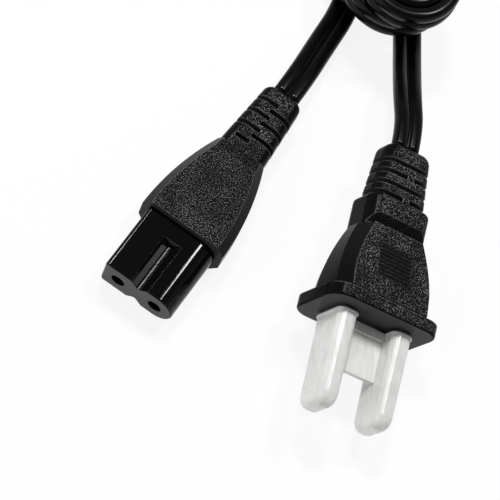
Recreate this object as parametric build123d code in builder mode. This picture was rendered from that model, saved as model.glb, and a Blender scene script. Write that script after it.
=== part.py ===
"""Mains lead: a figure-eight connector and a two-blade plug on one flat twin cord.

Millimetres, +Z up. The lead lies on a table. The middle of the connector's footprint is the
origin, the cord runs off towards +Y, and its spare length is folded into a tied hank there.
"""

import os
from math import cos, radians, sin, tan

from build123d import *

# Cord: flat twin, two round cores joined by a web
core_diameter = 3.0
core_spacing = 2.9
web_height = 1.5
copper_diameter = 1.2
split_core_diameter = 2.5
floor_gap = 0.05
run_share = 0.45
connector_first_run = 6.5
plug_first_run = 5.5

# Connector, measured from its mating face towards the cord
contact_spacing = 8.6
connector_heading = 34.0
connector_height = 11.0
nose_height = 7.8
nose_length = 15.4
nose_square_reach = 3.5
nose_corner_radius = 0.7
nose_rim = 0.25
notch_width = 4.0
notch_depth = 1.9
notch_bottom_radius = 0.7
notch_length = 11.7
notch_clear = 1.0
mouth_radius = 1.5
mouth_depth = 2.5
tail_width = 14.0
tail_height = 6.2
tail_length = 6.0
grip_half_width = 9.5
grip_middle_half_width = 8.8
grip_neck_half_width = 5.45
grip_length = 20.9
grip_arc_share = 0.42
grip_bevel_in = 1.7
grip_bevel_down = 3.0
grip_back_slope = 3.0
grip_back_drop = 1.5
connector_relief_length = 16.6
connector_relief_width = 8.4
connector_relief_height = 7.2
connector_neck_height = 8.2
connector_end_radius = 1.6
connector_slot_width = 1.05
connector_slot_pitch = 3.4
connector_slot_start = 39.9
connector_slot_rows = 3
connector_slot_overlap = 0.5
short_slot_length = 3.2
slot_clear_height = 30.0

# Contact sockets inside the connector
socket_radius = 1.85
socket_bore_radius = 1.2
socket_bore_length = 9.5
socket_length = 11.5
crimp_neck_radius = 1.1
crimp_neck_length = 5.0
crimp_radius = 1.6
crimp_length = 6.0
copper_seat = 4.5
copper_reach = 7.5
connector_split_length = 7.0
split_lead = 1.6
split_step_out = 0.3
split_step_in = 0.2
split_bend_radius = 1.5

# Plug, measured from the flange's front face towards the cord
plug_heading = 13.2
plug_roll = 20.5
plug_pitch = 1.1
plug_place_x = 30.8
plug_place_y = -26.1
flange_width = 25.0
flange_height = 17.2
flange_corner_radius = 4.0
flange_thickness = 2.6
flange_edge_radius = 0.5
groove_width = 0.8
groove_depth = 0.9
groove_corner_radius = 2.5
body_end = 18.4
body_front_half_width = 10.3
body_middle_half_width = 9.7
body_back_half_width = 7.4
body_front_half_height = 7.6
body_back_half_height = 5.3
body_bevel_in = 1.6
body_bevel_down = 3.6
band_length = 2.6
band_depth = 1.5
shoulder_end = 25.2
shoulder_half_width = 7.1
shoulder_half_height = 4.8
shoulder_end_radius = 0.9
shoulder_sink = 2.0
plug_relief_end = 37.7
plug_relief_width = 12.8
plug_relief_height = 7.4
plug_relief_end_width = 10.2
plug_relief_sink = 1.5
plug_end_radius = 2.2
plug_slot_width = 1.0
plug_slot_pitch = 2.45
plug_slot_start = 25.5
plug_slot_rows = 4
bridge_gap = 1.6
bridge_offset = 0.8
relief_corner_radius = 2.6
relief_corner_share = 0.45
core_width_share = 0.8
core_height_share = 0.65
core_end_gap = 1.5
pad_width = 7.6
pad_rib_pitch = 0.85
pad_ribs = 8
pad_groove_width = 0.4
pad_groove_depth = 0.35
pad_middle = 10.9

# Blades and their carrier
blade_spacing = 12.7
blade_thickness = 1.5
line_blade_width = 6.35
neutral_blade_width = 7.94
blade_length = 17.5
blade_hole_radius = 1.6
blade_hole_place = 11.7
blade_tip_chamfer = 1.2
carrier_front = 1.2
carrier_width = 16.5
carrier_height = 10.4
carrier_depth = 5.0
carrier_corner_radius = 1.5
blade_tail_width = 3.0
blade_tail_end = 8.5
blade_crimp_radius = 1.7
blade_crimp_length = 4.0
blade_copper_seat = 3.4
plug_copper_bare = 2.0
plug_split_length = 6.5

# Blade guard
guard_gap = 0.6
guard_length = 20.1
guard_thickness = 4.05
guard_width = 9.2
guard_edge_radius = 0.9
guard_tip_radius = 2.6
guard_clearance = 0.15
guard_tip_gap = 0.6
guard_web_length = 10.4
guard_web_thickness = 1.3
guard_lip_length = 1.9
guard_lip_thickness = 2.6

# Hank and its tie
hank_levels = 3
hank_bottom = 3.7
hank_far_end = 134.0
hank_foot_start = 118.0
near_ends = [43.0, 37.0, 35.6]
near_middles = [37.7, 38.9, 40.5]
near_half_widths = [12.0, 11.4, 10.2]
far_half_width = 11.4
waist_x = 39.5
waist_y = 86.0
waist_half_width = 7.0
waist_slit = 0.6
waist_join = 2.0
waist_strip = 1.0
foot_cut = 200.0
tie_width = 4.0
tie_thickness = 0.55
tie_corner_radius = 1.6
tie_tail_length = 17.0
tie_tail_turns = 1.5
tie_tail_steps = 12
tie_tail_thickness = 1.2
tie_tail_lead = 1.2

# Values that follow from those above
connector_turn = radians(connector_heading)
connector_across = Vector(cos(connector_turn), -sin(connector_turn), 0)
level_height = core_spacing + core_diameter
hank_wall = 2 * core_diameter
relief_start = nose_length + grip_length
connector_end = relief_start + connector_relief_length
hank_top = hank_bottom + hank_levels * level_height
touching = 0.001


def draw_footprint():
    """The connector's outline from above, in the open sketch: nose, grip and relief."""
    nose_left = -contact_spacing / 2 - nose_square_reach
    nose_right = contact_spacing / 2 + nose_height / 2
    with BuildSketch(mode=Mode.PRIVATE) as nose:
        with Locations(((nose_left + nose_right) / 2, nose_length / 2)):
            Rectangle(nose_right - nose_left, nose_length)
        chamfer(nose.vertices().group_by(Axis.Y)[0], nose_rim)
    add(nose.sketch)
    draw_grip()
    with BuildSketch(mode=Mode.PRIVATE) as relief:
        with Locations((0, (relief_start + connector_end) / 2)):
            Rectangle(connector_relief_width, connector_relief_length)
        fillet(relief.vertices().group_by(Axis.Y)[-1], connector_end_radius)
    add(relief.sketch)


def draw_grip():
    """The grip's outline from above: wide at the nose and drawn in to the neck by two long arcs."""
    middle = nose_length + grip_arc_share * grip_length
    with BuildLine() as outline:
        Line((-grip_half_width, nose_length), (grip_half_width, nose_length))
        ThreePointArc(
            (grip_half_width, nose_length),
            (grip_middle_half_width, middle),
            (grip_neck_half_width, relief_start),
        )
        Line((grip_neck_half_width, relief_start), (-grip_neck_half_width, relief_start))
        ThreePointArc(
            (-grip_neck_half_width, relief_start),
            (-grip_middle_half_width, middle),
            (-grip_half_width, nose_length),
        )
    make_face(outline.edges())


# The connector's planes: its footprint is centred on the origin
with BuildSketch(Plane((0, 0, 0), x_dir=connector_across)) as footprint:
    draw_footprint()
footprint_middle = footprint.sketch.bounding_box().center()
connector_plane = Plane((-footprint_middle.X, -footprint_middle.Y, 0), x_dir=connector_across)
connector_middle = connector_height / 2
connector_side = Plane(
    connector_plane.from_local_coords((0, 0, connector_middle)),
    x_dir=connector_plane.y_dir,
    z_dir=connector_plane.x_dir,
)


def connector_section(depth):
    """The plane across the connector at a depth from its mating face, facing out of the mouth."""
    place = connector_plane.from_local_coords((0, depth, connector_middle))
    return Plane(place, x_dir=connector_plane.x_dir, z_dir=-connector_plane.y_dir)


# The plug's planes: it lies rolled on one corner of its flange
pitch = radians(plug_pitch)
roll = radians(plug_roll)
heading = radians(plug_heading)
plug_back = Vector(sin(heading) * cos(pitch), cos(heading) * cos(pitch), sin(pitch))
plug_level = Vector(cos(heading), -sin(heading), 0)
plug_up = plug_level.cross(plug_back) * cos(roll) + plug_level * sin(roll)
plug_across = plug_back.cross(plug_up)
corner_x = flange_width / 2 - flange_corner_radius
corner_z = flange_height / 2 - flange_corner_radius
plug_rise = corner_x * sin(roll) + corner_z * cos(roll) + flange_corner_radius + floor_gap
plug_plane = Plane((plug_place_x, plug_place_y, plug_rise), x_dir=plug_across, z_dir=plug_up)


def plug_section(depth):
    """The plane across the plug at a depth behind the flange's front face, facing the blades."""
    place = plug_plane.from_local_coords((0, depth, 0))
    return Plane(place, x_dir=plug_plane.x_dir, z_dir=-plug_plane.y_dir)


def draw_cord():
    """The flat twin cord's section."""
    with Locations((-core_spacing / 2, 0), (core_spacing / 2, 0)):
        Circle(core_diameter / 2)
    Rectangle(core_spacing, web_height)


def draw_nose():
    """The figure-eight nose's section: square at the line side and round at the other."""
    left = -contact_spacing / 2 - nose_square_reach
    round_middle = contact_spacing / 2
    with Locations(((left + round_middle) / 2, 0)):
        Rectangle(round_middle - left, nose_height)
    with Locations((round_middle, 0)):
        Circle(nose_height / 2)


def draw_notches():
    """The two vee notches between the contacts, with round bottoms."""
    top = nose_height / 2
    clear = top + notch_clear
    for side in (-1, 1):
        with BuildLine() as notch:
            FilletPolyline(
                (-notch_width / 2, side * clear),
                (-notch_width / 2, side * top),
                (0, side * (top - notch_depth)),
                (notch_width / 2, side * top),
                (notch_width / 2, side * clear),
                radius=[0, notch_bottom_radius, 0],
            )
            Line((notch_width / 2, side * clear), (-notch_width / 2, side * clear))
        make_face(notch.edges())


def draw_rounded(width, height):
    """A strain relief's section."""
    corner = min(relief_corner_radius, relief_corner_share * min(width, height))
    RectangleRounded(width, height, corner)


# Sockets: each is a tube with a solid neck and a crimp barrel at its back
def revolve_socket(plane, side, with_bores):
    """One contact socket about its own axis; without bores it is the shape of its cavity."""
    depth_socket = socket_length
    depth_neck = depth_socket + crimp_neck_length
    depth_end = depth_neck + crimp_length
    axis_place = plane.from_local_coords((side * contact_spacing / 2, 0, 0))
    half = Plane(axis_place, x_dir=plane.x_dir, z_dir=plane.y_dir)
    with BuildPart(mode=Mode.PRIVATE) as socket:
        with BuildSketch(half):
            with BuildLine():
                Polyline(
                    (0, 0),
                    (socket_radius, 0),
                    (socket_radius, depth_socket),
                    (crimp_neck_radius, depth_socket),
                    (crimp_neck_radius, depth_neck),
                    (crimp_radius, depth_neck),
                    (crimp_radius, depth_end),
                    (0, depth_end),
                    close=True,
                )
            make_face()
        revolve(axis=Axis(axis_place, -plane.z_dir))
        if with_bores:
            front = Plane(axis_place, x_dir=plane.x_dir, z_dir=plane.z_dir)
            with BuildSketch(front):
                Circle(socket_bore_radius)
            extrude(amount=-socket_bore_length, mode=Mode.SUBTRACT)
            back_place = axis_place - plane.z_dir * depth_end
            with BuildSketch(Plane(back_place, x_dir=plane.x_dir, z_dir=plane.z_dir)):
                Circle(copper_diameter / 2)
            extrude(amount=copper_seat, mode=Mode.SUBTRACT)
    return socket.part


socket_plane = connector_section(mouth_depth)
crimp_end = mouth_depth + socket_length + crimp_neck_length + crimp_length
split_end = crimp_end + copper_reach - copper_seat
split_start = split_end + connector_split_length

with BuildPart() as line_socket:
    add(revolve_socket(socket_plane, -1, True))

with BuildPart() as neutral_socket:
    add(revolve_socket(socket_plane, 1, True))


def add_split_cord(section, start, join, end, spacing):
    """The cord's end inside a moulding: whole from end to join, then two cores spread apart."""
    with BuildSketch(section(end)) as whole_cord:
        draw_cord()
    extrude(whole_cord.sketch, amount=end - join)
    for side in (-1, 1):
        points = [
            (side * core_spacing / 2, 0, 0),
            (side * (core_spacing / 2 + split_step_out), 0, split_lead),
            (side * (spacing / 2 - split_step_in), 0, join - start - split_lead),
            (side * spacing / 2, 0, join - start),
        ]
        with BuildLine(section(join)) as core_path:
            FilletPolyline(*points, radius=split_bend_radius)
        with BuildSketch(section(join)) as core:
            with Locations((side * core_spacing / 2, 0)):
                Circle(split_core_diameter / 2)
        sweep(core.sketch, path=core_path.line)


with BuildPart() as connector_cord_end:
    add_split_cord(connector_section, split_end, split_start, connector_end, contact_spacing)


def add_copper(section, back, reach, x):
    """A bared conductor: it leaves its core at the back and ends in its crimp barrel."""
    with BuildSketch(section(back)) as strands:
        with Locations((x, 0)):
            Circle(copper_diameter / 2)
    extrude(strands.sketch, amount=reach)


with BuildPart() as connector_line_copper:
    add_copper(connector_section, split_end, copper_reach, -contact_spacing / 2)

with BuildPart() as connector_neutral_copper:
    add_copper(connector_section, split_end, copper_reach, contact_spacing / 2)


# Nose: the glossy insert with its two mouths, notched top and bottom
with BuildPart() as connector_nose:
    with BuildSketch(connector_section(0)):
        draw_nose()
    extrude(amount=-nose_length)
    corners = connector_nose.edges().filter_by(Axis(connector_plane.origin, connector_plane.y_dir))
    square_side = corners.group_by(Axis(connector_plane.origin, connector_plane.x_dir))[0]
    fillet(square_side, nose_corner_radius)
    faces_back = connector_nose.faces().sort_by(Axis(connector_plane.origin, connector_plane.y_dir))
    chamfer(faces_back[0].edges(), nose_rim)
    with BuildSketch(connector_section(0)):
        draw_notches()
    extrude(amount=-notch_length, mode=Mode.SUBTRACT)
    with BuildSketch(connector_section(nose_length)):
        Rectangle(tail_width, tail_height)
    extrude(amount=-tail_length)
    with BuildSketch(connector_section(0)):
        with Locations((-contact_spacing / 2, 0), (contact_spacing / 2, 0)):
            Circle(mouth_radius)
    extrude(amount=-mouth_depth, mode=Mode.SUBTRACT)
    for side in (-1, 1):
        add(revolve_socket(socket_plane, side, False), mode=Mode.SUBTRACT)


def cut_slot_row(section, depth, width, x_low, x_high):
    """One slot across a strain relief from x_low to x_high, cut all through it."""
    with BuildSketch(section(depth)) as slot:
        with Locations(((x_low + x_high) / 2, 0)):
            Rectangle(x_high - x_low, slot_clear_height)
    extrude(slot.sketch, amount=-width, mode=Mode.SUBTRACT)


def cut_slopes(side_plane, start, start_height, end, end_height, half_width):
    """A slope cut across the top and one across the bottom, between two half heights."""
    clear = 2 * max(start_height, end_height)
    for level in (-1, 1):
        with BuildSketch(side_plane) as wedge:
            with BuildLine() as outline:
                Polyline(
                    (start, level * start_height),
                    (end, level * end_height),
                    (end, level * clear),
                    (start, level * clear),
                    close=True,
                )
            make_face(outline.edges())
        extrude(wedge.sketch, amount=half_width, both=True, mode=Mode.SUBTRACT)


# Connector overmould: grip and strain relief in one shot, round the nose's tail and the cord
with BuildPart() as connector_relief:
    with BuildSketch(connector_section(relief_start - grip_back_slope)):
        draw_rounded(2 * grip_neck_half_width, connector_neck_height)
    with BuildSketch(connector_section(connector_end)):
        draw_rounded(connector_relief_width, connector_relief_height)
    loft()
    end_face = connector_relief.faces().sort_by(Axis(connector_plane.origin, connector_plane.y_dir))
    fillet(end_face[-1].edges(), connector_end_radius)
    far = grip_half_width
    first = connector_slot_start
    for row in range(connector_slot_rows):
        right = first + row * connector_slot_pitch
        left = right + connector_slot_pitch / 2
        cut_slot_row(connector_section, right, connector_slot_width, -connector_slot_overlap, far)
        cut_slot_row(connector_section, left, connector_slot_width, -far, connector_slot_overlap)
    short = first - connector_slot_pitch / 2
    cut_slot_row(connector_section, short, connector_slot_width, -short_slot_length, 0)
    with BuildSketch(connector_section(relief_start - grip_back_slope)):
        width = 2 * grip_neck_half_width * core_width_share
        draw_rounded(width, connector_neck_height * core_height_share)
    with BuildSketch(connector_section(connector_end - core_end_gap)):
        width = connector_relief_width * core_width_share
        draw_rounded(width, connector_relief_height * core_height_share)
    loft()

with BuildPart() as connector_overmould:
    with BuildSketch(connector_plane):
        draw_grip()
    extrude(amount=connector_height)
    rims = connector_overmould.edges().filter_by(GeomType.CIRCLE)
    for rim in rims:
        side_face = [
            f
            for f in connector_overmould.faces().filter_by(GeomType.CYLINDER)
            if f.distance_to(rim @ 0.5) < touching
        ]
        chamfer(rim, grip_bevel_down, grip_bevel_in, reference=side_face[0])
    back_height = connector_middle - grip_back_drop
    slope_start = relief_start - grip_back_slope
    cut_slopes(connector_side, slope_start, connector_middle, relief_start, back_height, far)
    add(connector_relief.part)
    add(connector_nose.part, mode=Mode.SUBTRACT)
    for side in (-1, 1):
        add(revolve_socket(socket_plane, side, False), mode=Mode.SUBTRACT)
    add(connector_line_copper.part, mode=Mode.SUBTRACT)
    add(connector_neutral_copper.part, mode=Mode.SUBTRACT)
    add(connector_cord_end.part, mode=Mode.SUBTRACT)


def draw_plug_body():
    """The plug body's outline from above, between the groove and the shoulder."""
    front = flange_thickness + groove_width
    middle = (front + body_end) / 2
    with BuildLine() as outline:
        Line((-body_front_half_width, front), (body_front_half_width, front))
        ThreePointArc(
            (body_front_half_width, front),
            (body_middle_half_width, middle),
            (body_back_half_width, body_end),
        )
        Line((body_back_half_width, body_end), (-body_back_half_width, body_end))
        ThreePointArc(
            (-body_back_half_width, body_end),
            (-body_middle_half_width, middle),
            (-body_front_half_width, front),
        )
    make_face(outline.edges())


def blade_plane(side):
    """The middle plane of one blade: x runs back towards the cord and y up."""
    place = plug_plane.from_local_coords((side * blade_spacing / 2, 0, 0))
    return Plane(place, x_dir=plug_plane.y_dir, z_dir=plug_plane.x_dir)


plug_side = Plane(plug_plane.origin, x_dir=plug_plane.y_dir, z_dir=plug_plane.x_dir)
carrier_back = carrier_front + carrier_depth
blade_crimp_end = blade_tail_end + blade_crimp_length
plug_split_end = blade_crimp_end + plug_copper_bare
plug_split_start = plug_split_end + plug_split_length


def make_blade(side, width, with_openings):
    """One blade with its tail and crimp barrel; without openings it is the shape of its seat."""
    with BuildPart(mode=Mode.PRIVATE) as blade:
        with BuildSketch(blade_plane(side)):
            with Locations(((carrier_back - blade_length) / 2, 0)):
                Rectangle(blade_length + carrier_back, width)
            with Locations(((carrier_back + blade_tail_end) / 2, 0)):
                Rectangle(blade_tail_end - carrier_back, blade_tail_width)
        extrude(amount=blade_thickness / 2, both=True)
        tip = blade.faces().sort_by(Axis(plug_plane.origin, plug_plane.y_dir))[0]
        tip_corners = tip.edges().filter_by(Axis(plug_plane.origin, plug_plane.x_dir))
        chamfer(tip_corners, blade_tip_chamfer)
        with BuildSketch(plug_section(blade_tail_end)):
            with Locations((side * blade_spacing / 2, 0)):
                Circle(blade_crimp_radius)
        extrude(amount=-blade_crimp_length)
        if with_openings:
            with BuildSketch(blade_plane(side)):
                with Locations((-blade_hole_place, 0)):
                    Circle(blade_hole_radius)
            extrude(amount=blade_thickness, both=True, mode=Mode.SUBTRACT)
            with BuildSketch(plug_section(blade_crimp_end)):
                with Locations((side * blade_spacing / 2, 0)):
                    Circle(copper_diameter / 2)
            extrude(amount=blade_copper_seat, mode=Mode.SUBTRACT)
    return blade.part


with BuildPart() as line_blade:
    add(make_blade(-1, line_blade_width, True))

with BuildPart() as neutral_blade:
    add(make_blade(1, neutral_blade_width, True))

blade_seats = [make_blade(-1, line_blade_width, False), make_blade(1, neutral_blade_width, False)]

with BuildPart() as plug_cord_end:
    add_split_cord(plug_section, plug_split_end, plug_split_start, plug_relief_end, blade_spacing)

plug_copper_reach = plug_split_end - blade_crimp_end + blade_copper_seat

with BuildPart() as plug_line_copper:
    add_copper(plug_section, plug_split_end, plug_copper_reach, -blade_spacing / 2)

with BuildPart() as plug_neutral_copper:
    add_copper(plug_section, plug_split_end, plug_copper_reach, blade_spacing / 2)

# Carrier: the block that holds both blades apart inside the plug
with BuildPart() as blade_carrier:
    with BuildSketch(plug_section(carrier_front)):
        RectangleRounded(carrier_width, carrier_height, carrier_corner_radius)
    extrude(amount=-carrier_depth)
    for seat in blade_seats:
        add(seat, mode=Mode.SUBTRACT)

# Plug's shoulder and strain relief, slotted in rows that leave a core
with BuildPart() as plug_relief:
    with BuildSketch(plug_section(shoulder_end - plug_relief_sink)):
        draw_rounded(plug_relief_width, plug_relief_height)
    with BuildSketch(plug_section(plug_relief_end)):
        draw_rounded(plug_relief_end_width, plug_relief_height)
    loft()
    relief_ends = plug_relief.faces().sort_by(Axis(plug_plane.origin, plug_plane.y_dir))
    fillet(relief_ends[-1].edges(), plug_end_radius)
    for row in range(plug_slot_rows):
        depth = plug_slot_start + row * plug_slot_pitch
        far = plug_relief_width
        if row % 2:
            cut_slot_row(plug_section, depth, plug_slot_width, -far, far)
        else:
            left_end = bridge_offset - bridge_gap / 2
            right_end = bridge_offset + bridge_gap / 2
            cut_slot_row(plug_section, depth, plug_slot_width, -far, left_end)
            cut_slot_row(plug_section, depth, plug_slot_width, right_end, far)
    with BuildSketch(plug_section(shoulder_end - plug_relief_sink)):
        draw_rounded(plug_relief_width * core_width_share, plug_relief_height * core_height_share)
    with BuildSketch(plug_section(plug_relief_end - core_end_gap)):
        draw_rounded(plug_relief_end_width * core_width_share, plug_relief_height * core_height_share)
    loft()
    with BuildPart(mode=Mode.PRIVATE) as shoulder:
        with BuildSketch(plug_section(body_end - shoulder_sink)):
            draw_rounded(2 * shoulder_half_width, 2 * shoulder_half_height)
        extrude(amount=body_end - shoulder_sink - shoulder_end)
        shoulder_ends = shoulder.faces().sort_by(Axis(plug_plane.origin, plug_plane.y_dir))
        fillet(shoulder_ends[-1].edges(), shoulder_end_radius)
    add(shoulder.part)
    band_end = body_end + band_length
    band_height = shoulder_half_height - band_depth
    cut_slopes(plug_side, body_end, band_height, band_end, shoulder_half_height, shoulder_half_width)

# Plug overmould: flange, body with its two grip pads, shoulder and strain relief in one shot
with BuildPart() as plug_overmould:
    with BuildSketch(plug_plane):
        draw_plug_body()
    extrude(amount=body_front_half_height, both=True)
    with BuildSketch(plug_side):
        with BuildLine():
            front = flange_thickness + groove_width
            Polyline(
                (front, -body_front_half_height),
                (front, body_front_half_height),
                (body_end, body_back_half_height),
                (body_end, -body_back_half_height),
                close=True,
            )
        make_face()
    extrude(amount=body_front_half_width, both=True, mode=Mode.INTERSECT)
    for level in (0, -1):
        flat = plug_overmould.faces().sort_by(Axis(plug_plane.origin, plug_plane.z_dir))[level]
        for rim in flat.edges():
            if rim.geom_type != GeomType.LINE:
                chamfer(rim, body_bevel_in, body_bevel_down, reference=flat)
                flat = plug_overmould.faces().sort_by(Axis(plug_plane.origin, plug_plane.z_dir))[level]
    with BuildSketch(plug_section(0)):
        RectangleRounded(flange_width, flange_height, flange_corner_radius)
    extrude(amount=-flange_thickness)
    flange_front = plug_overmould.faces().sort_by(Axis(plug_plane.origin, plug_plane.y_dir))[0]
    fillet(flange_front.edges(), flange_edge_radius)
    with BuildSketch(plug_section(flange_thickness)):
        width = 2 * (body_front_half_width - groove_depth)
        height = 2 * (body_front_half_height - groove_depth)
        RectangleRounded(width, height, groove_corner_radius)
    extrude(amount=-groove_width)
    add(plug_relief.part)
    slope = (body_front_half_height - body_back_half_height) / (body_end - front)
    pad_height = body_front_half_height - slope * (pad_middle - front)
    for level in (-1, 1):
        pad_place = plug_plane.from_local_coords((0, pad_middle, level * pad_height))
        pad_up = plug_plane.z_dir * level + plug_plane.y_dir * slope
        with BuildSketch(Plane(pad_place, x_dir=plug_plane.x_dir, z_dir=pad_up)):
            with GridLocations(1, pad_rib_pitch, 1, pad_ribs):
                Rectangle(pad_width, pad_groove_width)
        extrude(amount=-pad_groove_depth, mode=Mode.SUBTRACT)
    add(blade_carrier.part, mode=Mode.SUBTRACT)
    for seat in blade_seats:
        add(seat, mode=Mode.SUBTRACT)
    add(plug_line_copper.part, mode=Mode.SUBTRACT)
    add(plug_neutral_copper.part, mode=Mode.SUBTRACT)
    add(plug_cord_end.part, mode=Mode.SUBTRACT)

# Blade guard: two closed sleeves and the web between them, pushed over the blades
with BuildPart() as blade_guard:
    for side in (-1, 1):
        with BuildPart(mode=Mode.PRIVATE) as sleeve:
            with BuildSketch(blade_plane(side)) as sleeve_side:
                with Locations((-guard_gap - guard_length / 2, 0)):
                    Rectangle(guard_length, guard_width)
                tip_corners = sleeve_side.vertices().group_by(Axis(plug_plane.origin, plug_plane.y_dir))
                fillet(tip_corners[0], guard_tip_radius)
            extrude(amount=guard_thickness / 2, both=True)
            mouth = sleeve.faces().sort_by(Axis(plug_plane.origin, plug_plane.y_dir))[-1]
            flat_sides = sleeve.faces().sort_by(Axis(plug_plane.origin, plug_plane.x_dir))
            rims = flat_sides[0].edges() + flat_sides[-1].edges()
            fillet([e for e in rims if mouth.distance_to(e @ 0.5) > touching], guard_edge_radius)
        add(sleeve.part)
    web_span = blade_spacing - guard_thickness + guard_edge_radius
    lengths = ((guard_web_length, guard_web_thickness), (guard_lip_length, guard_lip_thickness))
    for length, thickness in lengths:
        with BuildSketch(plug_plane):
            with Locations((0, -guard_gap - length / 2)):
                Rectangle(web_span, length)
        extrude(amount=thickness / 2, both=True)
    for side, blade_width in ((-1, line_blade_width), (1, neutral_blade_width)):
        with BuildSketch(plug_section(-guard_gap)):
            with Locations((side * blade_spacing / 2, 0)):
                Rectangle(blade_thickness + 2 * guard_clearance, blade_width + 2 * guard_clearance)
        extrude(amount=blade_length - guard_gap + guard_tip_gap, mode=Mode.SUBTRACT)

# Cord: each end runs out of its strain relief, down to the table and under the hank
connector_exit = connector_plane.from_local_coords((0, connector_end, connector_middle))
plug_exit = plug_plane.from_local_coords((0, plug_relief_end, 0))
table_run = core_diameter / 2 + floor_gap
connector_route = [
    connector_exit,
    connector_exit + connector_plane.y_dir * connector_first_run,
    Vector(24.9, 37.2, 3.1),
    Vector(30.6, 46.8, table_run),
    Vector(34.6, 60.2, table_run),
    Vector(36.2, 78.0, table_run),
    Vector(35.8, 98.5, table_run),
    Vector(35.8, hank_foot_start, table_run),
]
plug_route = [
    plug_exit,
    plug_exit + plug_plane.y_dir * plug_first_run,
    Vector(40.9, 23.7, 10.4),
    Vector(42.1, 31.7, 6.2),
    Vector(43.4, 40.2, 2.2),
    Vector(43.9, 50.2, table_run),
    Vector(43.8, 62.2, table_run),
    Vector(43.3, 78.2, table_run),
    Vector(43.5, 98.2, table_run),
    Vector(43.5, hank_foot_start, table_run),
]


def corner_radii(route):
    """The radius of each corner of a route: as large as its two runs allow."""
    radii = []
    for before, corner, after in zip(route, route[1:], route[2:]):
        run_in = corner - before
        run_out = after - corner
        turn = radians(run_in.get_angle(run_out))
        radii.append(run_share * min(run_in.length, run_out.length) / tan(turn / 2))
    return radii


def add_lead(route, across):
    """A cord's own solid along a route, its flat side down."""
    radii = corner_radii(route)
    print("lead radii", [round(radius, 1) for radius in radii])
    with BuildLine() as path:
        FilletPolyline(*route, radius=radii)
    with BuildSketch(Plane(route[0], x_dir=across, z_dir=route[1] - route[0])) as section:
        draw_cord()
    sweep(section.sketch, path=path.line)
    length = sum(edge.length for edge in path.edges())
    print("lead length", round(length, 1), "times its section", round(length * section.sketch.area, 1))


with BuildPart() as cord_to_connector:
    add_lead(connector_route, connector_plane.x_dir)

with BuildPart() as cord_to_plug:
    add_lead(plug_route, plug_level)

# Hank: three levels of turns standing on edge, drawn together at the waist, with a foot
far_middle = (waist_x, hank_far_end - far_half_width)


def draw_hank_level(level):
    """One level's outline: two loops that meet at the tied waist, each open in the middle."""
    radius = near_half_widths[level]
    near_middle = (near_middles[level], near_ends[level] + radius)
    for middle, outer in ((near_middle, radius), (far_middle, far_half_width)):
        toward = 1 if middle[1] > waist_y else -1
        for reach, waist, gap in (
            (outer, waist_half_width, 0),
            (outer - hank_wall, waist_slit, tie_width / 2 + waist_join),
        ):
            with BuildSketch(mode=Mode.PRIVATE) as loop:
                with Locations(middle):
                    Circle(reach)
                with Locations((waist_x, waist_y + toward * (gap + waist_strip / 2))):
                    Rectangle(2 * waist, waist_strip)
                make_hull(loop.edges())
            add(loop.sketch, mode=Mode.ADD if gap == 0 else Mode.SUBTRACT)
    with Locations((waist_x, waist_y)):
        Rectangle(2 * waist_half_width, tie_width)


tie_middle = (hank_bottom + hank_top) / 2
tie_front = Plane((waist_x, waist_y + tie_width / 2, tie_middle), x_dir=(1, 0, 0), z_dir=(0, -1, 0))
waist_width = 2 * waist_half_width
waist_height = hank_top - hank_bottom

with BuildPart() as cord_hank:
    for level in range(hank_levels):
        with BuildSketch(Plane.XY.offset(hank_bottom + level * level_height)):
            draw_hank_level(level)
        extrude(amount=level_height)
    with BuildSketch(Plane.XY.offset(floor_gap)):
        draw_hank_level(0)
        with Locations((waist_x, hank_foot_start - foot_cut / 2)):
            Rectangle(foot_cut, foot_cut, mode=Mode.SUBTRACT)
    extrude(amount=hank_bottom - floor_gap)
    with BuildSketch(tie_front):
        Rectangle(2 * waist_width, 2 * waist_height)
        RectangleRounded(waist_width, waist_height, tie_corner_radius, mode=Mode.SUBTRACT)
    extrude(amount=tie_width, mode=Mode.SUBTRACT)

# Tie: a flat band round the waist whose two ends are twisted together at the side
with BuildPart() as hank_tie:
    with BuildSketch(tie_front):
        outer_width = waist_width + 2 * tie_thickness
        outer_height = waist_height + 2 * tie_thickness
        RectangleRounded(outer_width, outer_height, tie_corner_radius + tie_thickness)
        RectangleRounded(waist_width, waist_height, tie_corner_radius, mode=Mode.SUBTRACT)
    extrude(amount=tie_width)
    tail_middle = hank_top + tie_thickness + tie_tail_thickness / 2
    flat_run = waist_half_width + tie_tail_lead
    tail_start = waist_x + flat_run
    with Locations((waist_x + flat_run / 2, waist_y, tail_middle)):
        Box(flat_run, tie_width, tie_tail_thickness)
    for step in range(tie_tail_steps + 1):
        share = step / tie_tail_steps
        place = (tail_start + share * tie_tail_length, waist_y, tail_middle)
        turn = radians(360 * tie_tail_turns * share)
        with BuildSketch(Plane(place, x_dir=(0, cos(turn), sin(turn)), z_dir=(1, 0, 0))):
            Rectangle(tie_width, tie_tail_thickness)
    loft()

parts = {
    "connector_nose": connector_nose,
    "connector_overmould": connector_overmould,
    "line_socket": line_socket,
    "neutral_socket": neutral_socket,
    "connector_line_copper": connector_line_copper,
    "connector_neutral_copper": connector_neutral_copper,
    "connector_cord_end": connector_cord_end,
    "plug_overmould": plug_overmould,
    "blade_carrier": blade_carrier,
    "line_blade": line_blade,
    "neutral_blade": neutral_blade,
    "plug_line_copper": plug_line_copper,
    "plug_neutral_copper": plug_neutral_copper,
    "plug_cord_end": plug_cord_end,
    "blade_guard": blade_guard,
    "cord_to_connector": cord_to_connector,
    "cord_to_plug": cord_to_plug,
    "cord_hank": cord_hank,
    "hank_tie": hank_tie,
}

os.makedirs("parts", exist_ok=True)
for name, piece in parts.items():
    piece.part.label = name
    export_step(piece.part, f"parts/{name}.step")
    print(name, len(piece.part.solids()), round(piece.part.volume, 1))
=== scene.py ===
"""Mains lead: dresses the solids, moulds the blade guard and winds the cord as one flat twin."""

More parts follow.
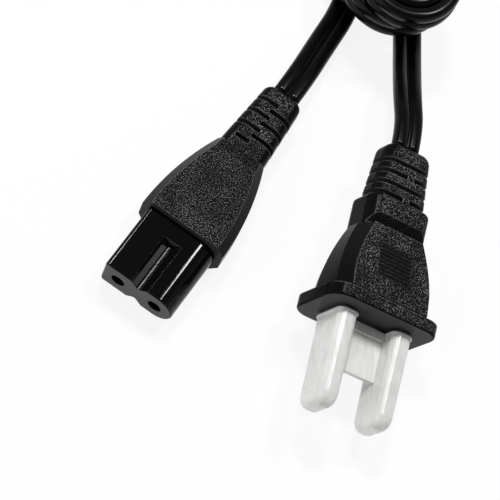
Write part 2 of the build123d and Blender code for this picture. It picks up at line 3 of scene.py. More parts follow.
from math import asin, copysign, cos, pi, radians, sin

import bmesh
import bpy
from bpy.props import FloatProperty, FloatVectorProperty, IntProperty, PointerProperty
from mathutils import Matrix, Vector


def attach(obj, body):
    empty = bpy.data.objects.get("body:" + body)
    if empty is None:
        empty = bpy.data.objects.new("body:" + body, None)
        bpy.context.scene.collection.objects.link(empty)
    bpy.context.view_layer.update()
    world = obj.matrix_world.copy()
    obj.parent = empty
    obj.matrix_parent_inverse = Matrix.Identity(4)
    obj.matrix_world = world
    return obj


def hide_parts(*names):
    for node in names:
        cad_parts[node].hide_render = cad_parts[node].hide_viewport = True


bl_info = {
    "name": "Mains lead",
    "version": (1, 0, 0),
    "blender": (4, 5, 0),
    "location": "View3D > Sidebar > Mains lead",
    "description": "Winds the flat twin cord and dresses the connector, the plug and its blade guard",
    "category": "Object",
}

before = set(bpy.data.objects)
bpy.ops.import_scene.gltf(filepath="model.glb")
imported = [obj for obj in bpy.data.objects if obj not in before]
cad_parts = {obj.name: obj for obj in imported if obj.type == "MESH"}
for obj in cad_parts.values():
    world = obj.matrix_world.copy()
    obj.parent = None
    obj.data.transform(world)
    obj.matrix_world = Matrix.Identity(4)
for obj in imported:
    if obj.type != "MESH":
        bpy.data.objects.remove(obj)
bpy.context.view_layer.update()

# The two mouldings' directions and the plug's middle, from the model
connector_turn = radians(34.0)
connector_back = Vector((sin(connector_turn), cos(connector_turn), 0.0))
plug_turn = radians(13.2)
plug_roll = radians(20.5)
plug_pitch = radians(1.1)
plug_back = Vector((sin(plug_turn) * cos(plug_pitch), cos(plug_turn) * cos(plug_pitch), sin(plug_pitch)))
plug_level = Vector((cos(plug_turn), -sin(plug_turn), 0.0))
plug_up = plug_level.cross(plug_back) * cos(plug_roll) + plug_level * sin(plug_roll)
plug_across = plug_back.cross(plug_up)
plug_middle = Vector((0.0308, -0.0261, 0.01133545))
plug_axes = Matrix((plug_across, plug_back, plug_up)).transposed()
plug_place = Matrix.Translation(plug_middle) @ plug_axes.to_4x4()

# The ribbed pads in the plug's broad faces, and how far round them the grain's painted sparkle fades
pad_middle = plug_middle + plug_back * 0.0109
pad_half_width = 0.0034
pad_half_length = 0.0032
pad_fade = 0.0012

# The cord's route in metres: from each moulding along the table to the hank's foot
connector_route = [
    (0.016523, 0.023287, 0.0055),
    (0.020158, 0.028676, 0.0055),
    (0.0249, 0.0372, 0.0031),
    (0.0306, 0.0468, 0.00155),
    (0.0346, 0.0602, 0.00155),
    (0.0362, 0.078, 0.00155),
    (0.0358, 0.0985, 0.00155),
    (0.0358, 0.118, 0.00155),
]
plug_route = [
    (0.039407, 0.010597, 0.012059),
    (0.040663, 0.015951, 0.012165),
    (0.0409, 0.0237, 0.0104),
    (0.0421, 0.0317, 0.0062),
    (0.0434, 0.0402, 0.0022),
    (0.0439, 0.0502, 0.00155),
    (0.0438, 0.0622, 0.00155),
    (0.0433, 0.0782, 0.00155),
    (0.0435, 0.0982, 0.00155),
    (0.0435, 0.118, 0.00155),
]
foot_start = (0.0334, 0.1242, 0.00165)
foot_end = (0.0465, 0.1245, 0.00155)

# The hank's loops, each as the x and y of its middle and its outer radius, from the lowest level up
near_loops = [(0.0377, 0.0550, 0.0120), (0.0389, 0.0484, 0.0114), (0.0405, 0.0458, 0.0102)]
far_loop = (0.0395, 0.1226, 0.0114)
level_heights = [0.00665, 0.01255, 0.01845]

# Its waist under the tie: middle x and y, half width and half length
waist = (0.0395, 0.086, 0.007, 0.006)

# How deep in the hank the middles of its two layers lie
outer_layer = 0.0015
inner_layer = 0.0045

# How far a turn has sunk where it leaves the waist: a share of the rise, and for the last one metres
crossing_drop = 0.2
last_drop = 0.001

# The last stretch draws in by the first for each degree that it turns, and lies higher by the second
draw_in = 0.00001
foot_lift = 0.0001

# From an octagon's side to its corner
corner_reach = 1 / cos(pi / 8)

# The power of the cores' outline: at 1 they are round, and below it flatter
flattening = 0.8


class CordSizes(bpy.types.PropertyGroup):
    """Sizes of the flat twin cord."""

    core: FloatProperty(name="Core", description="Diameter of each core", default=0.003, unit="LENGTH")
    spacing: FloatProperty(name="Spacing", description="Between the cores", default=0.0029, unit="LENGTH")
    web: FloatProperty(name="Web", description="Height of the web", default=0.0015, unit="LENGTH")
    length: FloatProperty(name="Length", description="The whole cord", default=1.45, unit="LENGTH")
    detail: IntProperty(name="Detail", description="Rings along each bend", default=8, min=2)


class GuardSizes(bpy.types.PropertyGroup):
    """Sizes of the push-on blade guard."""

    gap: FloatProperty(name="Gap", description="Flange to the mouths", default=0.0006, unit="LENGTH")
    length: FloatProperty(name="Length", description="Mouth to tip", default=0.0198, unit="LENGTH")
    thickness: FloatProperty(name="Thickness", description="Of a sleeve", default=0.00405, unit="LENGTH")
    width: FloatProperty(name="Width", description="Of a sleeve", default=0.0092, unit="LENGTH")
    taper: FloatProperty(name="Taper", description="How much wider the mouth end is", default=0.07)
    bead: FloatProperty(name="Bead", description="Length of a mouth's bead", default=0.0005, unit="LENGTH")
    bead_out: FloatProperty(name="Bead height", description="Past the sleeve", default=0.0002, unit="LENGTH")
    tip: FloatProperty(name="Tip", description="Radius of a closed end", default=0.0028, unit="LENGTH")
    edge: FloatProperty(name="Edge", description="Radius along a sleeve", default=0.0016, unit="LENGTH")
    wall: FloatProperty(name="Wall", description="Thickness of a wall", default=0.0005, unit="LENGTH")
    depth: FloatProperty(name="Depth", description="Of the blades' rooms", default=0.0175, unit="LENGTH")
    spacing: FloatProperty(name="Spacing", description="Between the sleeves", default=0.0127, unit="LENGTH")
    web_length: FloatProperty(name="Web length", description="From the mouths", default=0.0104, unit="LENGTH")
    web: FloatProperty(name="Web", description="Thickness of the web", default=0.0013, unit="LENGTH")
    lip_length: FloatProperty(name="Lip length", description="From the mouths", default=0.0019, unit="LENGTH")
    lip: FloatProperty(name="Lip", description="Thickness of the web's lip", default=0.0026, unit="LENGTH")


class Finishes(bpy.types.PropertyGroup):
    """Colours and grain of the mouldings, the cord and the guard."""

    moulding: FloatVectorProperty(
        name="Moulding", description="Grained black", subtype="COLOR", default=(0.005, 0.005, 0.0055)
    )
    nose: FloatVectorProperty(
        name="Nose", description="Polished black", subtype="COLOR", default=(0.003, 0.003, 0.0035)
    )
    # Painted highlight: the colour given to the grain's lit spots, the up-facing edges and the faces that
    # turn the way the plug's blades point.
    glint: FloatVectorProperty(
        name="Glint", description="Lit tops of the grain", subtype="COLOR", default=(0.29, 0.29, 0.286)
    )
    # Painted light: the nose's matt mating face is painted this grey for the light it catches.
    mating_face_painted_light: FloatVectorProperty(
        name="Mating face", description="Dull grey", subtype="COLOR", default=(0.075, 0.075, 0.077)
    )
    cord: FloatVectorProperty(
        name="Cord", description="Satin black", subtype="COLOR", default=(0.0025, 0.0025, 0.003)
    )
    guard: FloatVectorProperty(
        name="Guard", description="Milky white", subtype="COLOR", default=(0.93, 0.935, 0.915)
    )
    guard_shade: FloatVectorProperty(
        name="Guard shade", description="Its flow marks", subtype="COLOR", default=(0.72, 0.725, 0.69)
    )
    contact: FloatVectorProperty(
        name="Contact", description="Plated brass", subtype="COLOR", default=(0.72, 0.7, 0.66)
    )
    copper: FloatVectorProperty(
        name="Copper", description="Bare strands", subtype="COLOR", default=(0.7, 0.36, 0.2)
    )
    grain: FloatProperty(
        name="Grain", description="Size of the spark-eroded grain", default=0.00022, unit="LENGTH"
    )


class StageLook(bpy.types.PropertyGroup):
    """The floor, the lights and the camera's lens."""

    floor: FloatVectorProperty(
        name="Floor", description="Pale floor", subtype="COLOR", default=(0.9, 0.9, 0.9)
    )
    lens: FloatProperty(name="Lens", description="Camera lens in millimetres", default=198.3)
    key: FloatProperty(name="Key light", description="Small lamp behind", default=3.0, unit="POWER")
    fill: FloatProperty(name="Fill light", description="Small lamp on the right", default=2.0, unit="POWER")
    side: FloatProperty(name="Side light", description="Wide lamp on the left", default=1.6, unit="POWER")
    sky: FloatProperty(name="Sky", description="Strength of the light overhead", default=0.06)
    horizon: FloatProperty(name="Horizon", description="Strength of the light low down", default=0.6)
    paper: FloatProperty(name="Paper", description="How far the floor's white hides shadows", default=0.88)


class Value:
    """A node's output in shader maths; each operator adds its Math node."""

    def __init__(self, shader, socket):
        self.shader = shader
        self.socket = socket

    def math(self, operation, *others):
        inputs = {place: other for place, other in enumerate((self, *others))}
        return self.shader.node("ShaderNodeMath", {"operation": operation}, inputs).out(0)

    def __add__(self, other):
        return self.math("ADD", other)

    def __radd__(self, other):
        return self.math("ADD", other)

    def __mul__(self, other):
        return self.math("MULTIPLY", other)

    def __rmul__(self, other):
        return self.math("MULTIPLY", other)

    def __sub__(self, other):
        return self.math("SUBTRACT", other)

    def __rsub__(self, other):
        return (self * -1.0).math("ADD", other)

    def clamped(self):
        return self.math("MAXIMUM", 0.0).math("MINIMUM", 1.0)

    def ramp(self, low, high):
        """0 at low, 1 at high, and even between them."""
        return ((self - low) * (1.0 / (high - low))).clamped()


class Node:
    """A shader node whose outputs are handed on as values."""

    def __init__(self, shader, node):
        self.shader = shader
        self.node = node

    def out(self, name):
        return Value(self.shader, self.node.outputs[name])


class Shader:
    """One material and the single way its nodes are made."""

    def __init__(self, name):
        self.material = bpy.data.materials.new(name)
        self.material.use_nodes = True
        self.tree = self.material.node_tree
        self.surface = self.tree.nodes["Principled BSDF"]

    def node(self, kind, settings=None, inputs=None):
        node = self.tree.nodes.new(kind)
        for name, setting in (settings or {}).items():
            setattr(node, name, setting)
        for name, value in (inputs or {}).items():
            self.link(node.inputs[name], value)
        return Node(self, node)

    def link(self, socket, value):
        if isinstance(value, Value):
            self.tree.links.new(value.socket, socket)
        else:
            socket.default_value = value

    def set(self, **values):
        for name, value in values.items():
            self.link(self.surface.inputs[name.replace("_", " ")], value)

    def place(self):
        return self.node("ShaderNodeTexCoord").out("Object")

    def noise(self, scale, detail=2.0, roughness=0.5, place=None):
        inputs = {"Vector": place or self.place(), "Scale": scale}
        inputs |= {"Detail": detail, "Roughness": roughness}
        return self.node("ShaderNodeTexNoise", None, inputs).out("Fac")

    def cells(self, scale):
        inputs = {"Vector": self.place(), "Scale": scale}
        return self.node("ShaderNodeTexVoronoi", None, inputs).out("Distance")

    def dot(self, vector, direction):
        """The length of a vector along a direction."""
        inputs = {0: vector, 1: direction}
        return self.node("ShaderNodeVectorMath", {"operation": "DOT_PRODUCT"}, inputs).out("Value")

    def facing(self, direction):
        """How far the surface faces along a direction: 1 straight along it."""
        return self.dot(self.node("ShaderNodeNewGeometry").out("True Normal"), tuple(direction))

    def apart(self, middle, direction):
        """How far a place lies from the middle, along a direction and either way."""
        return (self.dot(self.place(), tuple(direction)) - direction.dot(middle)).math("ABSOLUTE")

    def edge(self, radius, up):
        """1 along the outer edges that face up, 0 on the flats: where the painted edge highlight goes."""
        rounded = self.rounded(radius)
        true = self.node("ShaderNodeNewGeometry").out("True Normal")
        turned = (1.0 - self.dot(rounded, true)).ramp(0.02, 0.1)
        return turned * self.dot(rounded, tuple(up)).ramp(0.2, 0.6)

    def mixed(self, share, first, second):
        """A colour that goes from the first to the second."""
        inputs = {0: share, 6: rgba(first), 7: rgba(second)}
        return self.node("ShaderNodeMix", {"data_type": "RGBA"}, inputs).out(2)

    def rounded(self, radius):
        """A normal that softens the edges as a mould's small radius does."""
        return self.node("ShaderNodeBevel", {"samples": 6}, {"Radius": radius}).out("Normal")

    def bump(self, height, distance, normal=None):
        inputs = {"Height": height, "Distance": distance}
        if normal is not None:
            inputs["Normal"] = normal
        return self.node("ShaderNodeBump", None, inputs).out("Normal")


def rgba(colour):
    return (*colour, 1.0)


def grained_black(name, looks, up):
    """Black moulding: spark-eroded on its broad faces, smooth on its sides and its ribbed pads, with painted
    highlights on the grain's lit spots, on its up-facing edges and on the faces that turn the way the blades
    point.
    """
    shader = Shader(name)
    grain = looks.grain
    mask = shader.facing(up).math("ABSOLUTE").ramp(0.86, 0.93)
    beside_pad = shader.apart(pad_middle, plug_across).ramp(pad_half_width, pad_half_width + pad_fade)
    past_pad = shader.apart(pad_middle, plug_back).ramp(pad_half_length, pad_half_length + pad_fade)
    off_pad = beside_pad.math("MAXIMUM", past_pad)
    # Painted reflection: faces that turn the way the plug's blades point get a share of the glint colour for
    # the light they catch there.
    painted_front_reflection = shader.facing(-plug_back).ramp(0.9, 0.97)
    fine = shader.noise(1.0 / grain, 1.0, 0.5)
    pits = shader.cells(0.75 / grain)
    height = (fine * 0.7 + pits * 0.5) * mask + shader.noise(0.35 / grain, 2.0) * 0.08
    # Painted highlight: a bright line along the rounded edges that face up.
    painted_edge_glint = shader.edge(0.00024, up) * fine.ramp(0.2, 0.6) * 0.85
    patches = shader.noise(170.0, 2.0).ramp(0.35, 0.65) * 0.6 + 0.4
    # Painted highlight: the grain's lit spots and the up-facing edges take the glint colour, fainter on the
    # ribbed pads; how many spots there are varies at random.
    grained = (fine.ramp(0.56, 0.68) * mask * patches + painted_edge_glint) * (off_pad * 0.8 + 0.2)
    painted_light_share = (grained + painted_front_reflection * 0.2).clamped()
    shader.set(
        Base_Color=shader.mixed(painted_light_share, looks.moulding, looks.glint),
        Roughness=0.2 + mask * 0.3 - painted_light_share * 0.12,
        Specular_IOR_Level=0.025,
        Normal=shader.bump(height, grain * 0.55, shader.rounded(0.00035)),
    )
    return shader.material


def polished_black(colour, painted_face_light):
    """The nose's hard black: mirror-bright sides and a matt mating face painted grey for the light it
    catches.
    """
    shader = Shader("polished nose")
    face = shader.facing(-connector_back).ramp(0.9, 0.97)
    ripple = shader.noise(260.0, 2.0)
    shader.set(
        # Painted light: the mating face takes the grey it is painted for the light it catches; its roughness
        # is its real matt finish.
        Base_Color=shader.mixed(face, colour, painted_face_light),
        Roughness=0.07 + face * 0.4,
        Coat_Weight=0.15 - face * 0.15,
        Coat_Roughness=0.04,
        Specular_IOR_Level=0.12,
        Normal=shader.bump(ripple, 0.00002, shader.rounded(0.00025)),
    )
    return shader.material


def satin_cord(colour):
    """The cord's soft black, with the faint unevenness of an extruded jacket."""
    shader = Shader("satin cord")
    smear = shader.noise(420.0, 3.0)
    shader.set(
        Base_Color=rgba(colour),
        Roughness=0.2 + smear * 0.12,
        Coat_Weight=0.1,
        Coat_Roughness=0.1,
        Specular_IOR_Level=0.09,
        Normal=shader.bump(shader.noise(900.0, 2.0), 0.000006),
    )
    return shader.material


def milky_guard(colour, shade):
    """Milky polyethylene with the flow marks that run from its mouths to its tips."""
    shader = Shader("milky guard")
    inputs = {"Vector": shader.place(), "Rotation": (0.0, 0.0, plug_turn), "Scale": (1.0, 0.16, 1.0)}
    drawn_out = shader.node("ShaderNodeMapping", None, inputs).out("Vector")
    flow = shader.noise(900.0, 3.0, 0.6, drawn_out)
    cloud = shader.noise(260.0, 3.0)
    shader.set(
        Base_Color=shader.mixed((flow * 0.5 + cloud * 0.5).ramp(0.42, 0.74), colour, shade),
        Roughness=0.11 + cloud * 0.12,
        Transmission_Weight=0.12,
        Subsurface_Weight=0.3,
        Subsurface_Radius=(1.0, 1.0, 0.95),
        Subsurface_Scale=0.0012,
        Normal=shader.bump(flow, 0.00002),
    )
    return shader.material


def bright_metal(name, colour):
    """Formed metal, finely uneven, for the contacts and the copper."""
    shader = Shader(name)
    grain = shader.noise(2400.0, 2.0)
    shader.set(
        Base_Color=rgba(colour),
        Metallic=1.0,
        Roughness=0.22 + grain * 0.16,
        Normal=shader.bump(grain, 0.00001),
    )
    return shader.material


def satin_plastic(name, colour):
    """Plain black plastic with a faint grain, for the tie and the blade carrier."""
    shader = Shader(name)
    grain = shader.noise(2600.0, 3.0)
    shader.set(
        Base_Color=rgba(colour),
        Roughness=0.38 + grain * 0.14,
        Specular_IOR_Level=0.12,
        Normal=shader.bump(grain, 0.00003, shader.rounded(0.0002)),
    )
    return shader.material


def pale_floor(colour, paper):
    """Matt floor that shows to the camera and to mirrors and glass mostly as plain white paper."""
    shader = Shader("pale floor")
    shader.set(Base_Color=rgba(colour), Roughness=0.9)
    ray = shader.node("ShaderNodeLightPath")
    seen = ray.out("Is Camera Ray") + ray.out("Is Glossy Ray") + ray.out("Is Transmission Ray")
    glow = shader.node("ShaderNodeEmission", None, {"Color": (1.0, 1.0, 1.0, 1.0), "Strength": 1.0})
    surface = Value(shader, shader.surface.outputs["BSDF"])
    blend = {0: seen.clamped() * paper, 1: surface, 2: glow.out("Emission")}
    white = shader.node("ShaderNodeMixShader", None, blend)
    shader.link(shader.tree.nodes["Material Output"].inputs["Surface"], white.out("Shader"))
    return shader.material


def light_world(horizon, sky):
    """White light all round that fades from the horizon up."""
    world = bpy.data.worlds.new("even light")
    world.use_nodes = True
    bpy.context.scene.world = world
    nodes, links = world.node_tree.nodes, world.node_tree.links
    height = nodes.new("ShaderNodeSeparateXYZ")
    links.new(nodes.new("ShaderNodeTexCoord").outputs["Generated"], height.inputs[0])
    fade = nodes.new("ShaderNodeMapRange")
    fade.inputs["From Max"].default_value = 0.8
    fade.inputs["To Min"].default_value = horizon
    fade.inputs["To Max"].default_value = sky
    links.new(height.outputs["Z"], fade.inputs["Value"])
    links.new(fade.outputs["Result"], nodes["Background"].inputs["Strength"])
    nodes["Background"].inputs["Color"].default_value = (1.0, 1.0, 1.0, 1.0)


def dress(material, *nodes):
    """Gives CAD nodes their finish."""
    for name in nodes:
        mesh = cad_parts[name].data
        mesh.materials.clear()
        mesh.materials.append(material)


def octagon_corner(loop, layer, degrees):
    """One corner of the octagon whose sides touch a loop's circle in a layer of turns."""
    x, y, radius = loop
    reach = (radius - layer) * corner_reach
    return x + reach * cos(radians(degrees)), y + reach * sin(radians(degrees))


def wind_hank(half_spacing):
    """The cord's control points with the tilt of its width at each: flat 0, on edge a quarter turn."""
    upright = radians(90)
    points = [(Vector(place), 0.0) for place in (*connector_route, foot_start)]
    rise = level_heights[1] - level_heights[0]
    top = len(level_heights) - 1

    # By the degrees of the far loop's corners: shares of the climb and of the tilt, and the layers
    far_climb = {202.5: 0.0, 157.5: 0.05, 112.5: 0.3, 67.5: 0.7, 22.5: 0.95, -22.5: 1.0}
    start_tilts = {112.5: 0.35, 67.5: 0.7, 22.5: 0.95, -22.5: 1.0}
    end_tilts = {202.5: 1.0, 157.5: 0.95, 112.5: 0.75, 67.5: 0.35}
    top_layers = {202.5: inner_layer, 157.5: (inner_layer + outer_layer) / 2}

    def add(x, y, z, tilt=upright):
        points.append((Vector((x, y, z)), tilt))

    def add_near_side(level, layer, z, z_left):
        x, y, half_width, half_length = waist
        side = half_width - layer
        add(x + side, y + half_length, z)
        add(x + side, y - half_length, z)
        for degrees in (22.5, -22.5, -67.5, -112.5, -157.5, -202.5):
            add(*octagon_corner(near_loops[level], layer, degrees), z)
        add(x - side, y - half_length, z)
        add(x - side, y + half_length, z_left)

    for level, z in enumerate(level_heights):
        climb = rise if level else z - foot_start[2]
        tilts = {} if level else start_tilts
        for degrees, share in far_climb.items():
            if level or degrees in start_tilts:
                corner = octagon_corner(far_loop, inner_layer, degrees)
                add(*corner, z - climb * (1 - share), tilts.get(degrees, 1.0) * upright)
        add_near_side(level, inner_layer, z, z)
    for level in range(top, -1, -1):
        z = level_heights[level]
        layers = top_layers if level == top else {}
        for degrees in far_climb:
            add(*octagon_corner(far_loop, layers.get(degrees, outer_layer), degrees), z)
        add_near_side(level, outer_layer, z, z - (rise * crossing_drop if level else last_drop))
    low = foot_end[2]
    for degrees, share in end_tilts.items():
        layer = outer_layer + (max(end_tilts) - degrees) * draw_in
        lift = foot_lift + half_spacing * sin(share * upright)
        add(*octagon_corner(far_loop, layer, degrees), low + lift, share * upright)
    add(*foot_end, 0.0)
    route = list(reversed(plug_route))
    last_rolls = [0.1, 0.4, 0.8, 1.0]
    rolls = [0.0] * (len(route) - len(last_rolls)) + last_rolls
    points += [(Vector(place), share * plug_roll) for place, share in zip(route, rolls)]
    return points


def smooth_route(points, detail):
    """The points that a NURBS spline of the route gives."""
    curve = bpy.data.curves.new("cord route", "CURVE")
    curve.dimensions = "3D"
    curve.resolution_u = detail
    spline = curve.splines.new("NURBS")
    spline.points.add(len(points) - 1)
    for point, (place, tilt) in zip(spline.points, points):
        point.co = (*place, 1.0)
    spline.order_u = 3
    spline.use_endpoint_u = True
    holder = bpy.data.objects.new("cord route", curve)
    mesh = bpy.data.meshes.new_from_object(holder)
    places = [vertex.co.copy() for vertex in mesh.vertices]
    bpy.data.objects.remove(holder)
    bpy.data.meshes.remove(mesh)
    bpy.data.curves.remove(curve)
    return places


def twin_section(sizes):
    """The flat twin's outline: two cores, a little flattened, and the web between them."""
    radius = sizes.core / 2
    end = pi - asin((sizes.web / sizes.core) ** (1 / flattening))
    divisions = 14
    outline = []
    for side in (1, -1):
        for division in range(divisions + 1):
            angle = end * (2 * division / divisions - 1)
            across = radius * copysign(abs(cos(angle)) ** flattening, cos(angle))
            height = radius * copysign(abs(sin(angle)) ** flattening, sin(angle))
            outline.append((side * (sizes.spacing / 2 + across), side * height))
    return outline


def tilt_at(points, share):
    """The tilt at a share of the way along the route, between its two nearest control points."""
    spot = share * (len(points) - 2) + 0.5
    low = min(int(spot), len(points) - 2)
    first, second = points[low][1], points[low + 1][1]
    return first + (second - first) * min(spot - low, 1.0)


def lay_rings(shell, places, points, outline):
    """Sets the outline across the route at each place, turned by the tilt there."""
    rings = []
    for index, place in enumerate(places):
        before = places[max(index - 1, 0)]
        after = places[min(index + 1, len(places) - 1)]
        along = (after - before).normalized()
        side = along.cross(Vector((0, 0, 1))).normalized()
        up = side.cross(along)
        tilt = tilt_at(points, index / (len(places) - 1))
        wide = side * cos(tilt) + up * sin(tilt)
        high = up * cos(tilt) - side * sin(tilt)
        rings.append([shell.verts.new(place + wide * x + high * y) for x, y in outline])
    return rings


def skin_rings(shell, layer, rings, travelled):
    """Joins the rings with faces, lays the texture along them in metres and closes both ends."""
    around = len(rings[0])
    for index in range(len(rings) - 1):
        near, far = rings[index], rings[index + 1]
        start, end = travelled[index], travelled[index + 1]
        for spot in range(around):
            following = (spot + 1) % around
            face = shell.faces.new((near[spot], near[following], far[following], far[spot]))
            face.smooth = True
            corners = ((start, spot), (start, spot + 1), (end, spot + 1), (end, spot))
            for loop, (along, turn) in zip(face.loops, corners):
                loop[layer].uv = (along, turn / around)
    shell.faces.new(list(reversed(rings[0])))
    shell.faces.new(rings[-1])
    bmesh.ops.recalc_face_normals(shell, faces=shell.faces)


def stand(shell, name):
    """Makes an object of a finished mesh and stands it in the scene."""
    mesh = bpy.data.meshes.new(name)
    shell.to_mesh(mesh)
    shell.free()
    item = bpy.data.objects.new(name, mesh)
    bpy.context.scene.collection.objects.link(item)
    return item


def block(shell, middle, sides):
    """Adds a plain block to a mesh and gives its corners."""
    corners = bmesh.ops.create_cube(shell, size=1.0)["verts"]
    bmesh.ops.scale(shell, vec=sides, verts=corners)
    bmesh.ops.translate(shell, vec=middle, verts=corners)
    return corners


def round_edges(shell, edges, radius, segments):
    bmesh.ops.bevel(
        shell, geom=edges, offset=radius, affect="EDGES", segments=segments, profile=0.5, material=-1
    )


def mould_sleeve(shell, sizes):
    """A sleeve round the plug's axis: closed and rounded at its tip, open at its mouth."""
    middle = (0.0, -sizes.gap - (sizes.length + sizes.bead) / 2, 0.0)
    block(shell, middle, (sizes.thickness, sizes.length - sizes.bead, sizes.width))
    tip_end = -sizes.gap - sizes.length
    near = 0.00001

    def level(edge, axis, place=None):
        first, second = (vert.co[axis] for vert in edge.verts)
        return abs(first - second) < near and (place is None or abs(first - place) < near)

    tip_edges = [edge for edge in shell.edges if level(edge, 1, tip_end) and level(edge, 2)]
    round_edges(shell, tip_edges, sizes.tip, segments=10)
    mouth_end = -sizes.gap - sizes.bead
    rims = [edge for edge in shell.edges if level(edge, 0) and not level(edge, 1, mouth_end)]
    round_edges(shell, rims, sizes.edge, segments=6)
    for vert in shell.verts:
        spread = 1 + sizes.taper * (vert.co.y - tip_end) / sizes.length
        vert.co = (vert.co.x * spread, vert.co.y, vert.co.z * spread)
    mouth = max(shell.faces, key=lambda face: face.calc_center_median().y)
    mouth = bmesh.ops.extrude_discrete_faces(shell, faces=[mouth])["faces"][0]
    grow = [1 + 2 * sizes.bead_out / side for side in (sizes.thickness, sizes.width)]
    bmesh.ops.scale(shell, vec=(grow[0], 1.0, grow[1]), verts=mouth.verts)
    mouth = bmesh.ops.extrude_discrete_faces(shell, faces=[mouth])["faces"][0]
    bmesh.ops.translate(shell, vec=(0.0, sizes.bead, 0.0), verts=mouth.verts)
    rim = sizes.wall + sizes.bead_out
    bmesh.ops.inset_region(shell, faces=[mouth], thickness=rim, use_even_offset=True)
    floor = bmesh.ops.extrude_discrete_faces(shell, faces=[mouth])["faces"][0]
    bmesh.ops.translate(shell, vec=(0.0, -sizes.depth, 0.0), verts=floor.verts)


class LEAD_OT_wind_cord(bpy.types.Operator):
    """Wind the flat twin cord: one length from the connector, round the hank and to the plug"""

    bl_idname = "lead.wind_cord"
    bl_label = "Wind cord"

    def execute(self, context):
        sizes = context.scene.lead_cord
        points = wind_hank(sizes.spacing / 2)
        places = smooth_route(points, sizes.detail)
        travelled = [0.0]
        for before, after in zip(places, places[1:]):
            travelled.append(travelled[-1] + (after - before).length)
        shell = bmesh.new()
        layer = shell.loops.layers.uv.new("UVMap")
        rings = lay_rings(shell, places, points, twin_section(sizes))
        skin_rings(shell, layer, rings, travelled)
        cord = stand(shell, "flat_twin_cord")
        material = satin_cord(context.scene.lead_finishes.cord)
        cord.data.materials.append(material)
        runs = ("cord_to_connector", "cord_to_plug", "cord_hank")
        dress(material, "connector_cord_end", "plug_cord_end", *runs)
        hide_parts("cord_to_connector", "cord_to_plug", "cord_hank")
        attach(cord, "cord_set")
        print("cord", round(travelled[-1], 4), "rings", len(rings))
        return {"FINISHED"}


class LEAD_OT_dress_connector(bpy.types.Operator):
    """Give the connector its polished nose, grained grip and inner contacts their finishes"""

    bl_idname = "lead.dress_connector"
    bl_label = "Dress connector"

    def execute(self, context):
        looks = context.scene.lead_finishes
        dress(polished_black(looks.nose, looks.mating_face_painted_light), "connector_nose")
        dress(grained_black("connector grain", looks, Vector((0, 0, 1))), "connector_overmould")
        dress(bright_metal("socket brass", looks.contact), "line_socket", "neutral_socket")
        dress(bright_metal("bare copper", looks.copper), "connector_line_copper", "connector_neutral_copper")
        return {"FINISHED"}


class LEAD_OT_dress_plug(bpy.types.Operator):
    """Give the plug's moulding, carrier, blades and copper their finishes"""

    bl_idname = "lead.dress_plug"
    bl_label = "Dress plug"

    def execute(self, context):
        looks = context.scene.lead_finishes
        dress(grained_black("plug grain", looks, plug_up), "plug_overmould")
        dress(satin_plastic("carrier black", looks.moulding), "blade_carrier")
        dress(bright_metal("blade brass", looks.contact), "line_blade", "neutral_blade")
        dress(bright_metal("plug copper", looks.copper), "plug_line_copper", "plug_neutral_copper")
        return {"FINISHED"}


class LEAD_OT_mould_guard(bpy.types.Operator):
    """Mould the blade guard: two rounded sleeves, open at the flange, and the web between them"""

    bl_idname = "lead.mould_guard"
    bl_label = "Mould guard"

    def execute(self, context):
        sizes = context.scene.lead_guard
        shell = bmesh.new()
        mould_sleeve(shell, sizes)
        first = list(shell.verts)
        copied = bmesh.ops.duplicate(shell, geom=[*shell.verts, *shell.edges, *shell.faces])["geom"]
        second = [item for item in copied if isinstance(item, bmesh.types.BMVert)]
        bmesh.ops.translate(shell, vec=(-sizes.spacing / 2, 0.0, 0.0), verts=first)
        bmesh.ops.translate(shell, vec=(sizes.spacing / 2, 0.0, 0.0), verts=second)
        span = sizes.spacing - sizes.thickness + sizes.wall
        web_rounding = 0.0002
        for length, thickness in ((sizes.web_length, sizes.web), (sizes.lip_length, sizes.lip)):
            corners = block(shell, (0.0, -sizes.gap - length / 2, 0.0), (span, length, thickness))
            edges = list({edge for corner in corners for edge in corner.link_edges})
            round_edges(shell, edges, web_rounding, segments=2)
        bmesh.ops.recalc_face_normals(shell, faces=shell.faces)
        for face in shell.faces:
            face.smooth = True
        guard = stand(shell, "guard_sleeves")
        guard.data.transform(plug_place)
        guard.modifiers.new("even normals", "WEIGHTED_NORMAL").keep_sharp = True
        looks = context.scene.lead_finishes
        material = milky_guard(looks.guard, looks.guard_shade)
        guard.data.materials.append(material)
        dress(material, "blade_guard")
        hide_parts("blade_guard")
        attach(guard, "guard")
        return {"FINISHED"}


class LEAD_OT_dress_tie(bpy.types.Operator):
    """Give the tie round the hank its finish"""

    bl_idname = "lead.dress_tie"
    bl_label = "Dress tie"

    def execute(self, context):
        dress(satin_plastic("tie black", context.scene.lead_finishes.moulding), "hank_tie")
        return {"FINISHED"}


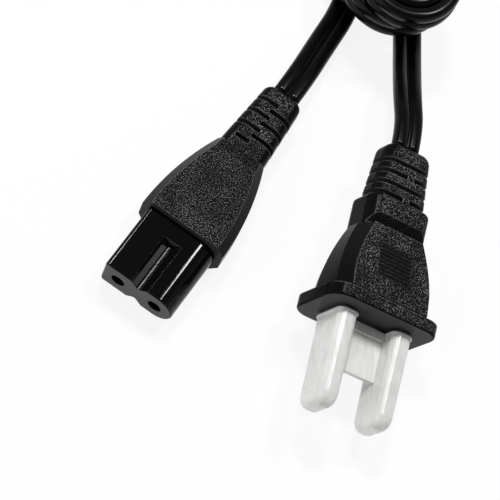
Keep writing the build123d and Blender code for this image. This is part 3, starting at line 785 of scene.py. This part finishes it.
class LEAD_OT_set_stage(bpy.types.Operator):
    """Set the pale floor, the lights and the camera"""

    bl_idname = "lead.set_stage"
    bl_label = "Set stage"

    def execute(self, context):
        look = context.scene.lead_stage
        scene = context.scene
        scene.view_settings.view_transform = "Standard"
        floor_size = 6.0
        floor_height = -0.0001
        plane = bmesh.new()
        bmesh.ops.create_grid(plane, x_segments=1, y_segments=1, size=floor_size)
        bmesh.ops.translate(plane, verts=plane.verts, vec=(0, 0, floor_height))
        floor = stand(plane, "floor")
        floor.data.materials.append(pale_floor(look.floor, look.paper))
        light_world(look.horizon, look.sky)
        aim = Vector((0.02, 0.0, 0.0))
        for name, place, size, power in (
            ("key light", (-0.025, 0.3, 0.69), 0.11, look.key),
            ("fill light", (0.28, 0.2, 0.67), 0.11, look.fill),
            ("side light", (-0.6, -0.1, 0.35), 0.7, look.side),
        ):
            data = bpy.data.lights.new(name, "AREA")
            data.size = size
            data.energy = power
            lamp = bpy.data.objects.new(name, data)
            lamp.location = place
            lamp.rotation_euler = (aim - Vector(place)).to_track_quat("-Z", "Y").to_euler()
            scene.collection.objects.link(lamp)
        data = bpy.data.cameras.new("camera")
        data.lens = look.lens
        data.clip_start = 0.01
        data.clip_end = 20.0
        camera = bpy.data.objects.new("camera", data)
        right = Vector((0.98057747, -0.00696714, 0.19600837))
        above = Vector((-0.06819511, 0.92490283, 0.37403766))
        behind = Vector((-0.18389467, -0.38013972, 0.90646376))
        turn = Matrix((right, above, behind)).transposed().to_4x4()
        eye = (-0.08962, -0.21459, 0.4937)
        camera.matrix_world = Matrix.Translation(eye) @ turn
        scene.collection.objects.link(camera)
        scene.camera = camera
        return {"FINISHED"}


class LEAD_PT_panel(bpy.types.Panel):
    """Lists the lead's pieces in the sidebar"""

    bl_label = "Mains lead"
    bl_idname = "LEAD_PT_panel"
    bl_space_type = "VIEW_3D"
    bl_region_type = "UI"
    bl_category = "Mains lead"

    def draw(self, context):
        for step in steps:
            self.layout.operator(step.bl_idname)
        scene = context.scene
        for group in (scene.lead_cord, scene.lead_guard, scene.lead_finishes, scene.lead_stage):
            for name in group.__annotations__:
                self.layout.prop(group, name)


steps = (
    LEAD_OT_mould_guard,
    LEAD_OT_wind_cord,
    LEAD_OT_dress_connector,
    LEAD_OT_dress_plug,
    LEAD_OT_dress_tie,
    LEAD_OT_set_stage,
)
groups = (CordSizes, GuardSizes, Finishes, StageLook)


def register():
    for item in (*groups, *steps, LEAD_PT_panel):
        bpy.utils.register_class(item)
    bpy.types.Scene.lead_cord = PointerProperty(type=CordSizes)
    bpy.types.Scene.lead_guard = PointerProperty(type=GuardSizes)
    bpy.types.Scene.lead_finishes = PointerProperty(type=Finishes)
    bpy.types.Scene.lead_stage = PointerProperty(type=StageLook)


def unregister():
    del bpy.types.Scene.lead_stage
    del bpy.types.Scene.lead_finishes
    del bpy.types.Scene.lead_guard
    del bpy.types.Scene.lead_cord
    for item in reversed((*groups, *steps, LEAD_PT_panel)):
        bpy.utils.unregister_class(item)


def main():
    register()
    bpy.ops.lead.mould_guard()
    bpy.ops.lead.wind_cord()
    bpy.ops.lead.dress_connector()
    bpy.ops.lead.dress_plug()
    bpy.ops.lead.dress_tie()
    bpy.ops.lead.set_stage()


if __name__ == "__main__":
    main()
